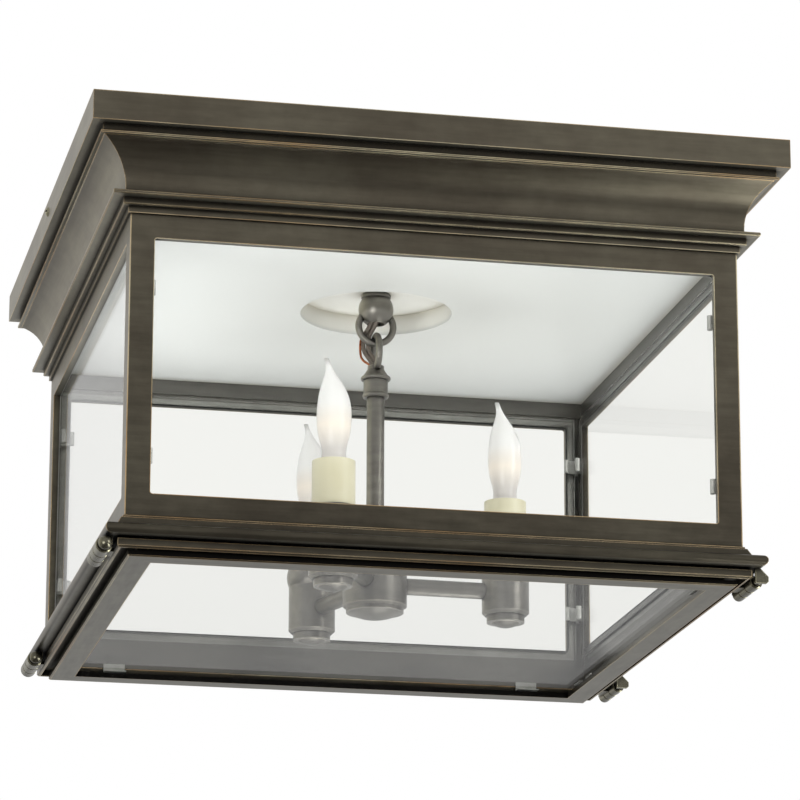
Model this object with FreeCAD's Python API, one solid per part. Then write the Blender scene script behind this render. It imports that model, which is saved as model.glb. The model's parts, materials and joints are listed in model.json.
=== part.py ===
import FreeCAD, Part
import os
from math import asin, cos, pi, sin, sqrt, tan

os.makedirs("parts", exist_ok=True)
Vector = FreeCAD.Vector
UP = Vector(0, 0, 1)

# Square lantern for a ceiling, hung from its top face, in millimetres.
# The origin is the middle of the top face, +Z is up and the front faces -Y.
# A "half" is the distance from the middle to a face, the same on all four sides.

# Glazed case, from which every moulding above and below stands out
body_half = 196.3
body_height = 193.9

# Crown band against the ceiling
crown_projection = 28.7
band_height = 19.1
sheet = 1.2
band_flange = 8.0
reveal_inset = 7.5
reveal_height = 4.9

# Cove under the band
cove_lip_projection = 1.5
cove_lip_height = 1.4
cove_lip_flat = 2.3
cove_foot_projection = 4.2
cove_drop = 30.0
cove_tail = 4.4

# Neck fillets under the cove
ledge_projection = 12.6
ledge_height = 2.5
fillet_projection = 5.3
fillet_height = 4.5
step_projection = 1.7
step_height = 4.3
skirt_below_neck = 5.8
edge_break = 0.5

# Four window frames
plate = 1.5
stile_width = 15.6
top_rail = 15.3
bottom_rail = 14.6
window_corner = 1.5
window_return = 5.0

# Panes
pane = 2.5
pane_overlap = 6.0
pane_corner_gap = 2.1

# Glass clips
clip_width = 9.5
clip_sheet = 0.6
clip_foot = 5.0
clip_finger = 6.4
clip_curl = 1.9
clip_gap = 0.1
clip_height_shares = (0.18, 0.84)

# Ceiling panel and its round recess
panel_sheet = 0.8
panel_drop = 6.6
panel_rim = 6.0
recess_radius = 51.4
recess_depth = 13.5

# Base moulding
base_neck_projection = 1.1
base_neck_height = 1.4
base_flare_start = 1.1
base_flare_spread = 3.0
base_flare_height = 5.5
nosing_projection = 12.9
nosing_height = 6.8
upstand_height = 18.3

# Door
door_gap = 0.5
door_inset = 8.5
door_frame_height = 6.7
door_frame_width = 15.2
door_break = 1.2
rim_inset = 7.5
rim_height = 3.6
rim_width = 16.4
rim_break = 0.9
door_pane = 3.0
door_pane_gap = 0.6
door_clip_length = 15.0
door_clip_finger = 9.0
door_clip_rise = 3.0
door_clip_share = 0.8

# Ball pins and their barrels of three knuckles
pin_axis_inset = 0.7
pin_radius = 1.9
pin_clearance = 0.06
pin_ball_gap = 0.3
knuckle_length = 13.8
knuckle_break = 0.7
knuckle_gap = 0.4
barrel_end_break = 1.6

# Hinge side, its balls held in by a stop lug
hinge_ball_radius = 2.9
hinge_knuckle_radius = 4.1
hinge_knuckle_drop = 1.2
hinge_from_front_corner = 24.8
hinge_from_rear_corner = 14.2
stop_ahead = 14.6
stop_thickness = 2.6
stop_inner_reach = 5.0
stop_outer_reach = 3.5
stop_clip = 5.2
stop_corner = 1.2

# Latch side, its pins drawn out by the balls
latch_ball_radius = 4.3
latch_knuckle_radius = 5.2
latch_knuckle_drop = 0.35
latch_from_front_corner = 11.2
latch_from_rear_corner = 20.8
lug_thickness = 2.4
web_thickness = 2.2

# Mounting strap over the outlet box
strap_width = 32.0
strap_sheet = 2.0
strap_tab = 14.0
strap_clearance = 0.3
slot_spacing = 88.9
slot_width = 5.2
slot_length = 16.0
wire_hole_radius = 9.8

# Side screws of the crown
side_screw_drop = 8.0
side_screw_radius = 2.0
side_screw_hole = 2.2
side_screw_head_radius = 3.6
side_screw_head_height = 2.0
driver_slot_width = 1.3
driver_slot_depth = 1.1
side_screw_length = 13.5

# Clearance of pushed and screwed fits, on the radius
push_fit = 0.1

# Ball loop under the recess
collar_radius = 10.15
collar_height = 3.5
collar_break = 0.9
ball_radius = 11.9
ball_bore = 6.0
ring_radius = 11.9
wire_radius = 2.35
ring_gap = 0.3
nipple_radius = 4.9
nipple_bore = 3.6
nipple_above = 12.0
nipple_in_ball = 4.0
nut_radius = 9.0
nut_height = 4.5

# Stem under the lower ring
boss_radius = 5.6
boss_rise = 2.2
cone_height = 5.0
cone_radius = 10.2
cone_edge = 3.0
stem_bore = 4.2
sleeve_radius = 8.25
sleeve_height = 9.0
stem_ring_radius = 8.9
stem_ring_height = 3.2
stem_radius = 6.0
stem_wall = 1.2
stem_in_sleeve = 7.0
cluster_above_pane = 5.2

# Hub and its cap
hub_radius = 21.4
hub_height = 27.3
hub_wall = 2.2
hub_break = 1.5
hub_cap_radius = 19.2
hub_cap_height = 4.3
hub_dome_radius = 17.5
hub_dome_height = 4.4

# Arms
arm_angles = {"right": 2.0, "back": 107.0, "front": 241.0}
candle_distance = 90.2
arm_radius = 5.55
arm_wall = 1.0
arm_below_hub_top = 12.5
arm_in_hub = 2.4
arm_fit = 0.06

# Candle cups
cup_play = 0.5
cup_wall = 1.2
cup_height = 46.3
bead_projection = 1.4
bead_height = 14.0
bead_peak_share = 0.57
cup_corner = 2.0
cup_ring_inset = 3.2
cup_ring_height = 4.7
nut_dome_inset = 2.7
nut_dome_height = 3.2
cup_below_hub_top = 28.8

# Candle sleeves, lampholders and bulbs
candle_radius = 14.2
candle_wall = 1.4
candle_rise = 30.5
candle_fit = 0.2
holder_play = 2.3
holder_length = 36.0
bulb_seat_gap = 0.35
base_clearance = 0.15
holder_floor_gap = 3.0
holder_stem_radius = 4.9
holder_stem_bore = 3.6
base_radius = 6.2
base_length = 17.0
base_contact_radius = 2.6
base_contact_height = 1.5
bulb_radius = 11.5
bulb_height = 70.0
bulb_tip_lean = 5.2
bulb_lean_angle = 168.0
bulb_lean_start_share = 0.5

# Height along the bulb and radius there, from the neck to the tip
bulb_shares = (
    (-0.075, 0.560), (0.000, 0.755), (0.170, 0.765), (0.235, 0.872), (0.345, 0.972),
    (0.440, 1.000), (0.530, 0.970), (0.640, 0.850), (0.740, 0.640), (0.830, 0.385),
    (0.900, 0.215), (0.955, 0.150), (1.000, 0.130),
)

# Wires from the ball to the stem
lead_radius = 1.5
lead_pitch = 3.3
earth_radius = 0.8
lead_in_ball = 8.0
lead_in_hub = 4.0
lead_shift = 1.0
earth_shift_x = 1.0
earth_shift_y = 1.9
arc_share = 0.45

# Route of the leads and of the earth wire across the gap between ball and stem,
# as x and y in ring radii and height as a share of the gap, from the top down
lead_route_shares = (
    (-0.12, -0.02, 0.14), (-0.50, 0.42, 0.38), (-0.52, 0.44, 0.62), (-0.08, -0.04, 0.89),
)
earth_route_shares = (
    (-0.24, 0.21, 0.14), (-0.78, 0.46, 0.38), (-0.84, 0.44, 0.60), (-0.76, 0.38, 0.80),
    (-0.16, 0.17, 0.93),
)

# Distances of the mouldings' faces from the middle
crown_half = body_half + crown_projection
reveal_half = crown_half - reveal_inset
cove_lip_half = reveal_half + cove_lip_projection
cove_foot_half = body_half + cove_foot_projection
ledge_half = body_half + ledge_projection
fillet_half = body_half + fillet_projection
step_half = body_half + step_projection
window_half = body_half - stile_width
pane_face = body_half - window_return
pane_half = pane_face - pane - pane_corner_gap
skirt_half = body_half - plate
skirt_inner = skirt_half - plate
base_neck_half = body_half + base_neck_projection
base_flare_top_half = base_neck_half + base_flare_start
base_flare_half = base_flare_top_half + base_flare_spread
nosing_half = body_half + nosing_projection
door_half = nosing_half - door_inset
rim_half = door_half - rim_inset
pin_axis_half = nosing_half - pin_axis_inset
reach = 2 * crown_half

# Radii of the pieces that fit round each other
thread_hole_radius = nipple_radius + push_fit
cup_bore_radius = candle_radius + cup_play
cup_radius = cup_bore_radius + cup_wall
cup_mouth_radius = candle_radius + candle_fit
cup_ring_radius = cup_radius - cup_ring_inset
nut_dome_radius = cup_ring_radius - nut_dome_inset
holder_radius = candle_radius - candle_wall - holder_play
holder_bore = base_radius + base_clearance

# Levels worked down from the ceiling
band_bottom = -band_height
cove_top = band_bottom - reveal_height
cove_bottom = cove_top - cove_drop
neck_top = cove_bottom - cove_tail
ledge_bottom = neck_top - ledge_height
fillet_bottom = ledge_bottom - fillet_height
body_top = fillet_bottom - step_height
body_bottom = body_top - body_height
window_top = body_top - top_rail
window_bottom = body_bottom + bottom_rail
nosing_top = body_bottom - base_neck_height - base_flare_height
base_bottom = nosing_top - nosing_height
door_top = base_bottom - door_gap
frame_bottom = door_top - door_frame_height
rim_bottom = frame_bottom - rim_height
pane_top = frame_bottom + door_pane
panel_face = neck_top - panel_drop
recess_face = panel_face + recess_depth
ball_level = recess_face - sqrt(ball_radius ** 2 - thread_hole_radius ** 2)
upper_ring_level = ball_level - ball_radius
hook_level = upper_ring_level - ring_radius
lower_ring_level = hook_level + 2 * wire_radius + ring_gap - ring_radius
cone_top = lower_ring_level - ring_radius + wire_radius - boss_rise + ring_gap
sleeve_top = cone_top - cone_height - cone_edge
stem_ring_top = sleeve_top - sleeve_height
stem_top = stem_ring_top + stem_in_sleeve
cup_bottom = pane_top + cluster_above_pane + nut_dome_height + cup_ring_height
cup_top = cup_bottom + cup_height
hub_top = cup_bottom + cup_below_hub_top
hub_bottom = hub_top - hub_height
arm_level = hub_top - arm_below_hub_top
candle_top = cup_top + candle_rise
bulb_low = candle_top + bulb_shares[0][0] * bulb_height
hinge_level = base_bottom - hinge_knuckle_drop - hinge_knuckle_radius
latch_level = base_bottom - latch_knuckle_drop - latch_knuckle_radius


def closed_wire(items):
    # A pair of numbers is a straight run to that point.
    # A pair of points is an arc through the first to the second.
    start = Vector(items[0][0], 0, items[0][1])
    here = start
    edges = []
    for item in items[1:]:
        if isinstance(item[0], tuple):
            middle, end = (Vector(x, 0, z) for x, z in item)
            edges.append(Part.Arc(here, middle, end).toShape())
        else:
            end = Vector(item[0], 0, item[1])
            edges.append(Part.makeLine(here, end))
        here = end
    if here.distanceToPoint(start) > 0:
        edges.append(Part.makeLine(here, start))
    return Part.Wire(edges)


def turned(items):
    return Part.Face(closed_wire(items)).revolve(Vector(), UP, 360)


def spun(shape, degrees):
    copy = shape.copy()
    copy.rotate(Vector(), UP, degrees)
    return copy


def moved(shape, x=0.0, y=0.0, z=0.0):
    copy = shape.copy()
    copy.translate(Vector(x, y, z))
    return copy


def shallow_cap(radius, rise, level):
    # Arc of a shallow ball cap that hangs below a level, from its rim to the axis.
    ball = (radius ** 2 + rise ** 2) / (2 * rise)
    half_angle = asin(radius / ball) / 2
    middle = (ball * sin(half_angle), level - rise + ball * (1 - cos(half_angle)))
    return (middle, (0.0, level - rise))


def four_sides(shape):
    return [spun(shape, 90 * side) for side in range(4)]


def upright_rod(radius, low, high):
    return Part.makeCylinder(radius, high - low, Vector(0, 0, low))


def upright_tube(radius, bore, low, high):
    return upright_rod(radius, low, high).cut(upright_rod(bore, low, high))


def block(x0, x1, y0, y1, z0, z1):
    return Part.makeBox(x1 - x0, y1 - y0, z1 - z0, Vector(x0, y0, z0))


def mitre_wedge():
    corners = [Vector(0, 0, -reach), Vector(reach, -reach, -reach), Vector(reach, reach, -reach)]
    face = Part.Face(Part.makePolygon(corners + corners[:1]))
    return face.extrude(Vector(0, 0, 2 * reach))


def mitred_strips(items):
    # One side's strip is drawn on the +X side and cut at 45 degrees at both ends.
    face = Part.Face(closed_wire(items))
    face.translate(Vector(0, -reach, 0))
    strip = face.extrude(Vector(0, 2 * reach, 0)).common(mitre_wedge())
    return Part.makeCompound(four_sides(strip))


def bent_rod(points, radius):
    # Straight runs joined by tangent arcs, each as large as its two runs allow.
    edges = []
    here = points[0]
    for before, corner, after in zip(points, points[1:], points[2:]):
        back = before.sub(corner)
        ahead = after.sub(corner)
        half_turn = (pi - back.getAngle(ahead)) / 2
        trim = arc_share * min(back.Length, ahead.Length)
        bend = trim / tan(half_turn)
        back.normalize()
        ahead.normalize()
        start = corner.add(back * trim)
        end = corner.add(ahead * trim)
        inward = back.add(ahead)
        inward.normalize()
        middle = corner.add(inward * (bend / cos(half_turn) - bend))
        edges.append(Part.makeLine(here, start))
        edges.append(Part.Arc(start, middle, end).toShape())
        here = end
        print("bend radius %.1f for a wire of %.1f" % (bend, 2 * radius))
    edges.append(Part.makeLine(here, points[-1]))
    path = Part.Wire(edges)
    heading = points[1].sub(points[0])
    section = Part.Wire(Part.makeCircle(radius, points[0], heading))
    rod = path.makePipeShell([section], True, False)
    wanted = pi * radius ** 2 * path.Length
    print("wire volume %.1f, section times length %.1f" % (rod.Volume, wanted))
    return rod


def cap_band():
    # Folded channel: ceiling flange, fascia, return and the set-back reveal.
    inner = crown_half - band_flange
    back = reveal_half - sheet
    strips = mitred_strips([
        (inner, 0.0), (crown_half, 0.0), (crown_half, band_bottom), (reveal_half, band_bottom),
        (reveal_half, cove_top), (back, cove_top), (back, band_bottom + sheet),
        (crown_half - sheet, band_bottom + sheet), (crown_half - sheet, -sheet), (inner, -sheet),
    ])
    holes = []
    for side in (-1, 1):
        start = Vector(side * (crown_half - 2 * sheet), 0, -side_screw_drop)
        holes.append(Part.makeCylinder(side_screw_hole, 3 * sheet, start, Vector(side, 0, 0)))
    return strips.cut(Part.makeCompound(holes))


def cap_screws():
    screws = []
    for side in (-1, 1):
        outward = Vector(side, 0, 0)
        seat = Vector(side * crown_half, 0, -side_screw_drop)
        inner_end = Vector(side * (crown_half - side_screw_length), 0, -side_screw_drop)
        shank = Part.makeCylinder(side_screw_radius, side_screw_length, inner_end, outward)
        rise = side_screw_head_height
        dome = (side_screw_head_radius ** 2 + rise ** 2) / (2 * rise)
        centre = seat.sub(outward * (dome - rise))
        cap = Part.makeSphere(dome, centre)
        head = Part.makeCylinder(side_screw_head_radius, rise, seat, outward).common(cap)
        top, floor = crown_half + rise, crown_half + rise - driver_slot_depth
        wide, tall = side_screw_head_radius, driver_slot_width / 2
        slot = block(floor, top, -wide, wide, -side_screw_drop - tall, -side_screw_drop + tall)
        screws.append(shank.fuse(head).cut(slot if side > 0 else mirrored(slot)))
    return Part.makeCompound(screws)


def screw_slot():
    run = (slot_length - slot_width) / 2
    half = slot_width / 2
    slot = block(-run, run, -half, half, -2 * strap_sheet, strap_sheet)
    ends = [moved(upright_rod(half, -2 * strap_sheet, strap_sheet), x) for x in (-run, run)]
    return slot.fuse(ends)


def mounting_strap():
    # Flat bar over the outlet box, its ends turned down behind the crown band.
    half = crown_half - band_flange - strap_clearance
    wide = strap_width / 2
    bar = block(-half, half, -wide, wide, -strap_sheet, 0.0)
    for side in (-1, 1):
        inner, outer = sorted((side * half, side * (half - strap_sheet)))
        bar = bar.fuse(block(inner, outer, -wide, wide, -strap_tab, 0.0))
        start = Vector(side * (half - 2 * strap_sheet), 0, -side_screw_drop)
        bar = bar.cut(Part.makeCylinder(side_screw_hole, 3 * strap_sheet, start, Vector(side, 0, 0)))
        bar = bar.cut(moved(screw_slot(), side * slot_spacing / 2))
    bar = bar.cut(upright_rod(wire_hole_radius, -2 * strap_sheet, strap_sheet))
    return bar.removeSplitter()


def arc_middle(centre, radius, start, end):
    x = (start[0] + end[0]) / 2 - centre[0]
    z = (start[1] + end[1]) / 2 - centre[1]
    scale = radius / sqrt(x ** 2 + z ** 2)
    return (centre[0] + x * scale, centre[1] + z * scale)


def crown_cove():
    # Thin concave strip; the hollow is struck from a centre level with the foot, so it
    # leaves the foot upright and meets the lip.
    lip_level = cove_top - cove_lip_height
    lip = (cove_lip_half - cove_lip_flat, lip_level)
    foot = (cove_foot_half, cove_bottom)
    across = lip[0] - foot[0]
    rise = lip_level - cove_bottom
    radius = (across ** 2 + rise ** 2) / (2 * across)
    centre = (cove_foot_half + radius, cove_bottom)
    back_radius = radius + sheet
    back_lip = (centre[0] - sqrt(back_radius ** 2 - rise ** 2), lip_level)
    back_foot = (cove_foot_half - sheet, cove_bottom)
    print("cove radius %.1f" % radius)
    return mitred_strips([
        (reveal_half - sheet, cove_top), (cove_lip_half, cove_top),
        (cove_lip_half, lip_level), lip, (arc_middle(centre, radius, lip, foot), foot),
        (cove_foot_half, neck_top), (cove_foot_half - sheet, neck_top), back_foot,
        (arc_middle(centre, back_radius, back_foot, back_lip), back_lip),
        (reveal_half - sheet, lip_level),
    ])


def crown_neck():
    # Two drawn fillets and a step, with a skirt inside the window frames.
    brk = edge_break
    return mitred_strips([
        (skirt_inner, neck_top), (ledge_half - brk, neck_top), (ledge_half, neck_top - brk),
        (ledge_half, ledge_bottom + brk), (ledge_half - brk, ledge_bottom),
        (fillet_half, ledge_bottom), (fillet_half, fillet_bottom + brk),
        (fillet_half - brk, fillet_bottom), (step_half, fillet_bottom), (step_half, body_top),
        (skirt_half, body_top), (skirt_half, body_top - skirt_below_neck),
        (skirt_inner, body_top - skirt_below_neck),
    ])


def ceiling_panel():
    # Pressed white tray with a turned-up rim and a round recess in the middle.
    top = panel_face + panel_sheet
    rim_top = panel_face + panel_rim
    tray = block(-skirt_inner, skirt_inner, -skirt_inner, skirt_inner, panel_face, rim_top)
    inner = skirt_inner - panel_sheet
    tray = tray.cut(block(-inner, inner, -inner, inner, top, rim_top))
    tray = tray.fuse(upright_rod(recess_radius + panel_sheet, panel_face, recess_face + panel_sheet))
    tray = tray.cut(upright_rod(recess_radius, panel_face, recess_face))
    tray = tray.cut(upright_rod(thread_hole_radius, recess_face, recess_face + panel_sheet))
    return tray.removeSplitter()


def rounded_window(half, low, high, corner, depth):
    # Window cutter on the +X side, reaching inwards from the face by the depth.
    tall = high - low
    cutter = block(body_half - depth, body_half, -half, half, low, low + tall)
    corners = [edge for edge in cutter.Edges if edge.BoundBox.XLength > depth / 2]
    return cutter.makeFillet(corner, corners)


def window_frame():
    # Cut plate with a return folded in around the window, mitred at the corners.
    face = block(skirt_half, body_half, -body_half, body_half, body_bottom, body_top)
    fold_half = window_half + sheet
    fold = rounded_window(fold_half, window_bottom - sheet, window_top + sheet,
                          window_corner + sheet, window_return)
    opening = rounded_window(window_half, window_bottom, window_top, window_corner, window_return)
    return face.fuse(fold).cut(opening).common(mitre_wedge()).removeSplitter()


def window_pane():
    return block(pane_face - pane, pane_face, -pane_half, pane_half,
                 window_bottom - pane_overlap, window_top + pane_overlap)


def clip_outline(foot_level, pane_level, edge):
    # Bent strip seen from its end: foot on the frame, riser past the pane's edge,
    # finger along the pane and a curled end. Drawn in the XZ plane, then turned.
    t = clip_sheet
    riser = edge + clip_gap + t
    finger_end = edge - clip_finger
    low = pane_level - clip_gap
    curl_level = low - clip_curl
    body = Part.Face(closed_wire([
        (edge + clip_foot, foot_level), (riser - t, foot_level), (riser - t, low),
        (finger_end, low), (finger_end, low - t), (riser, low - t),
        (riser, foot_level - t), (edge + clip_foot, foot_level - t),
    ])).extrude(Vector(0, clip_width, 0))
    axis = Vector(0, 1, 0)
    curl = Part.makeCylinder(clip_curl, clip_width, Vector(finger_end, 0, curl_level), axis)
    curl = curl.cut(Part.makeCylinder(clip_curl - t, clip_width, Vector(finger_end, 0, curl_level), axis))
    return body.fuse(curl).removeSplitter()


def window_clips():
    # Four clips for the +X pane, two at each stile. The drawing plane is turned so
    # that its x runs along the pane and its z points out through the window.
    strip = clip_outline(skirt_half, pane_face - pane, pane_half)
    strip.translate(Vector(0, -clip_width / 2, 0))
    strip.rotate(Vector(), Vector(1, 1, 1), 120)
    clips = []
    for share in clip_height_shares:
        level = window_top - share * (window_top - window_bottom)
        placed = moved(strip, z=level)
        clips.append(placed)
        clips.append(placed.mirror(Vector(), Vector(0, 1, 0)))
    return Part.makeCompound(clips)


def base_moulding():
    # Small flare over a rounded nosing, with an upstand inside the window frames.
    nose = nosing_height / 2
    nose_start = nosing_half - nose
    middle = (nosing_half, base_bottom + nose)
    return mitred_strips([
        (skirt_inner, base_bottom + upstand_height), (skirt_half, base_bottom + upstand_height),
        (skirt_half, body_bottom), (base_neck_half, body_bottom),
        (base_neck_half, body_bottom - base_neck_height),
        (base_flare_top_half, body_bottom - base_neck_height), (base_flare_half, nosing_top),
        (nose_start, nosing_top), (middle, (nose_start, base_bottom)), (skirt_inner, base_bottom),
    ])


def door_frame():
    # Channel that faces down, its outer edge eased.
    brk = door_break
    inner = door_half - door_frame_width
    return mitred_strips([
        (inner, door_top), (door_half - brk, door_top), (door_half, door_top - brk),
        (door_half, frame_bottom + brk), (door_half - brk, frame_bottom),
        (door_half - brk - sheet, frame_bottom), (door_half - brk - sheet, door_top - sheet - brk),
        (inner + sheet, door_top - sheet - brk), (inner + sheet, frame_bottom), (inner, frame_bottom),
    ])


def door_rim():
    brk = rim_break
    inner = rim_half - rim_width
    return mitred_strips([
        (inner, frame_bottom), (rim_half, frame_bottom), (rim_half, rim_bottom + brk),
        (rim_half - brk, rim_bottom), (inner, rim_bottom),
    ])


def door_glass():
    half = door_half - door_frame_width - door_pane_gap
    return block(-half, half, -half, half, frame_bottom, pane_top)


def door_clips():
    # A bent strip against the frame's inner side springs down on the pane; two on each side.
    edge = door_half - door_frame_width
    low = pane_top + clip_gap
    high = door_top + door_clip_rise
    tab = Part.Face(closed_wire([
        (edge, high), (edge, low), (edge - door_clip_finger, low),
        (edge - door_clip_finger, low + clip_sheet), (edge - clip_sheet, low + clip_sheet),
        (edge - clip_sheet, high),
    ])).extrude(Vector(0, door_clip_length, 0))
    tab.translate(Vector(0, -door_clip_length / 2, 0))
    place = door_clip_share * edge
    pair = [moved(tab, y=-place), moved(tab, y=place)]
    return Part.makeCompound([spun(clip, 90 * side) for side in range(4) for clip in pair])


def barrel_starts(from_front_corner, from_rear_corner):
    # Front ends of the near and the far barrel, along Y.
    barrel = 3 * knuckle_length
    return (from_front_corner - nosing_half, nosing_half - from_rear_corner - barrel)


def knuckle(start, radius, level, far_break):
    # Barrel piece along +Y with both rims eased.
    bore = pin_radius + pin_clearance
    long = knuckle_length - knuckle_gap
    piece = turned([
        (bore, 0.0), (radius - knuckle_break, 0.0), (radius, knuckle_break),
        (radius, long - far_break), (radius - far_break, long), (bore, long),
    ])
    piece.rotate(Vector(), Vector(1, 0, 0), -90)
    return moved(piece, pin_axis_half, start + knuckle_gap / 2, level)


def knuckle_lug(start, radius, level):
    # Lug from the barrel up to the base moulding, bored for the pin.
    inner = pin_axis_half - radius
    y = start + knuckle_gap / 2
    lug = block(inner, inner + lug_thickness, y, y + knuckle_length - knuckle_gap, level, base_bottom)
    bore = Part.makeCylinder(pin_radius + pin_clearance, knuckle_length,
                             Vector(pin_axis_half, y, level), Vector(0, 1, 0))
    return lug.cut(bore)


def fixed_knuckles(starts, radius, level):
    # Outer knuckles of both barrels.
    pieces = []
    for near in starts:
        far = near + 2 * knuckle_length
        for start, far_break in ((near, knuckle_break), (far, barrel_end_break)):
            rolled = knuckle(start, radius, level, far_break)
            pieces.append(rolled.fuse(knuckle_lug(start, radius, level)))
    return pieces


def stop_lug(start):
    # Plate in front of the hinge pin's ball, its outer corners cut off.
    inner = pin_axis_half - stop_inner_reach
    outer = pin_axis_half + stop_outer_reach
    low = hinge_level - hinge_knuckle_radius
    face = Part.Face(closed_wire([
        (inner, base_bottom), (outer - stop_clip, base_bottom), (outer, base_bottom - stop_clip),
        (outer, low + stop_corner), (outer - stop_corner, low), (inner, low),
    ]))
    return moved(face.extrude(Vector(0, stop_thickness, 0)), y=start - stop_ahead)


def door_knuckles(starts, radius, level):
    # Middle knuckles, each with a web in to the door frame.
    pieces = []
    for start in starts:
        first = start + knuckle_length
        y = first + knuckle_gap / 2
        web = block(door_half, pin_axis_half - pin_radius - pin_clearance, y,
                    y + knuckle_length - knuckle_gap, level - web_thickness / 2,
                    level + web_thickness / 2)
        pieces.append(knuckle(first, radius, level, knuckle_break).fuse(web))
    return Part.makeCompound(pieces)


def ball_pin(start, ball_radius, level):
    # Straight pin with a ball at its front end, through all three knuckles.
    barrel = 3 * knuckle_length
    centre = Vector(pin_axis_half, start - pin_ball_gap - ball_radius, level)
    long = barrel + pin_ball_gap + ball_radius
    shank = Part.makeCylinder(pin_radius, long, centre, Vector(0, 1, 0))
    return shank.fuse(Part.makeSphere(ball_radius, centre))


def mirrored(shape):
    return shape.mirror(Vector(), Vector(1, 0, 0))


def ring_of_wire(level, plane_normal):
    ring = Part.makeTorus(ring_radius, wire_radius, Vector(0, 0, level), plane_normal)
    return ring


def ball_loop():
    # Collar, ball and the upper ring cast as one, bored for the leads.
    collar = turned([
        (0.0, recess_face - collar_height - collar_break), (collar_radius - 2 * collar_break,
         recess_face - collar_height - collar_break),
        (collar_radius, recess_face - collar_height + collar_break),
        (collar_radius, recess_face - collar_break), (collar_radius - collar_break, recess_face),
        (0.0, recess_face),
    ])
    ball = Part.makeSphere(ball_radius, Vector(0, 0, ball_level))
    ring = ring_of_wire(upper_ring_level, Vector(0, 1, 0))
    # The ring's crown lies in the ball, where the bore would open it.
    low = ball_level - ball_radius
    ring = ring.cut(block(-ball_bore, ball_bore, -ball_bore, ball_bore, low, recess_face))
    bore = upright_rod(ball_bore, low - wire_radius, ball_level)
    thread = upright_rod(thread_hole_radius, ball_level, ball_level + ball_radius)
    return collar.fuse([ball, ring]).cut(bore.fuse(thread)).removeSplitter()


def loop_nipple():
    top = recess_face + panel_sheet + nut_height + nipple_above
    return upright_tube(nipple_radius, nipple_bore, ball_level + nipple_in_ball, top)


def loop_locknut():
    low = recess_face + panel_sheet
    corner = Vector(nut_radius, 0, low)
    points = [spun(Part.Vertex(corner), 60 * k).Point for k in range(7)]
    nut = Part.Face(Part.makePolygon(points)).extrude(Vector(0, 0, nut_height))
    return nut.cut(upright_rod(thread_hole_radius, low, low + nut_height))


def stem_loop():
    # Lower ring on a coned collar and a plain sleeve, bored for the leads.
    ring = ring_of_wire(lower_ring_level, Vector(1, 0, 0))
    edge = cone_edge / 2
    cone_bottom = cone_top - cone_height
    body = turned([
        (0.0, cone_top + boss_rise), (boss_radius, cone_top + boss_rise), (boss_radius, cone_top),
        (cone_radius - edge, cone_bottom),
        ((cone_radius, cone_bottom - edge), (cone_radius - edge, sleeve_top)),
        (sleeve_radius, sleeve_top), (sleeve_radius, stem_ring_top), (0.0, stem_ring_top),
    ])
    bore = upright_rod(stem_bore, stem_top, cone_top + 2 * boss_rise)
    socket = upright_rod(stem_radius + push_fit, stem_ring_top, stem_top)
    return body.fuse(ring).cut(bore.fuse(socket)).removeSplitter()


def stem_ring():
    bulge = (stem_ring_radius, stem_ring_top - stem_ring_height / 2)
    side = stem_ring_radius - stem_ring_height / 4
    inner = stem_radius + push_fit
    return turned([
        (inner, stem_ring_top), (side, stem_ring_top),
        (bulge, (side, stem_ring_top - stem_ring_height)), (inner, stem_ring_top - stem_ring_height),
    ])


def stem():
    low = hub_top - hub_wall
    return upright_tube(stem_radius, stem_radius - stem_wall, low, stem_top)


def arm_along_x(radius, start, end):
    return Part.makeCylinder(radius, end - start, Vector(start, 0, arm_level), Vector(1, 0, 0))


def hub():
    # Turned cup, open below, with a hole for the stem and one for each arm.
    inner = hub_radius - hub_wall
    roof = hub_top - hub_wall
    body = turned([
        (stem_radius + push_fit, hub_top), (hub_radius - hub_break, hub_top),
        (hub_radius, hub_top - hub_break), (hub_radius, hub_bottom), (inner, hub_bottom),
        (inner, roof), (stem_radius + push_fit, roof),
    ])
    for angle in arm_angles.values():
        body = body.cut(spun(arm_along_x(arm_radius + arm_fit, 0.0, 2 * hub_radius), angle))
    return body


def hub_cap():
    # Stepped cap with a shallow dome, its spigot inside the hub.
    dome_top = hub_bottom - hub_cap_height
    spigot = hub_radius - hub_wall - push_fit
    return turned([
        (0.0, hub_bottom + hub_wall), (spigot, hub_bottom + hub_wall), (spigot, hub_bottom),
        (hub_cap_radius + hub_break, hub_bottom), (hub_cap_radius, hub_bottom - hub_break),
        (hub_cap_radius, dome_top), (hub_dome_radius, dome_top),
        shallow_cap(hub_dome_radius, hub_dome_height, dome_top),
    ])


def arm():
    start = hub_radius - hub_wall - arm_in_hub
    end = candle_distance - cup_mouth_radius - arm_fit
    tube = arm_along_x(arm_radius, start, end)
    return tube.cut(arm_along_x(arm_radius - arm_wall, start, end))


def cup():
    # Turned cup with a beaded mouth, a bevelled foot and a step ring below.
    bead_low = cup_top - bead_height
    peak = (cup_radius + bead_projection, cup_top - bead_peak_share * bead_height)
    foot = cup_bottom - cup_ring_height
    body = turned([
        (holder_stem_radius + push_fit, cup_bottom + cup_wall),
        (cup_bore_radius, cup_bottom + cup_wall), (cup_bore_radius, bead_low),
        (cup_mouth_radius, cup_top), (cup_mouth_radius + cup_wall, cup_top),
        (peak, (cup_radius, bead_low)), (cup_radius, cup_bottom + cup_corner),
        (cup_radius - cup_corner, cup_bottom), (cup_ring_radius, cup_bottom),
        (cup_ring_radius, foot), (holder_stem_radius + push_fit, foot),
    ])
    body.translate(Vector(candle_distance, 0, 0))
    return body.cut(arm_along_x(arm_radius + arm_fit, 0.0, candle_distance - push_fit - holder_stem_radius))


def cup_nut():
    # Domed nut on the end of the lampholder's threaded tube.
    top = cup_bottom - cup_ring_height
    nut = turned([(0.0, top), (nut_dome_radius, top), shallow_cap(nut_dome_radius, nut_dome_height, top)])
    return moved(nut, candle_distance)


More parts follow.
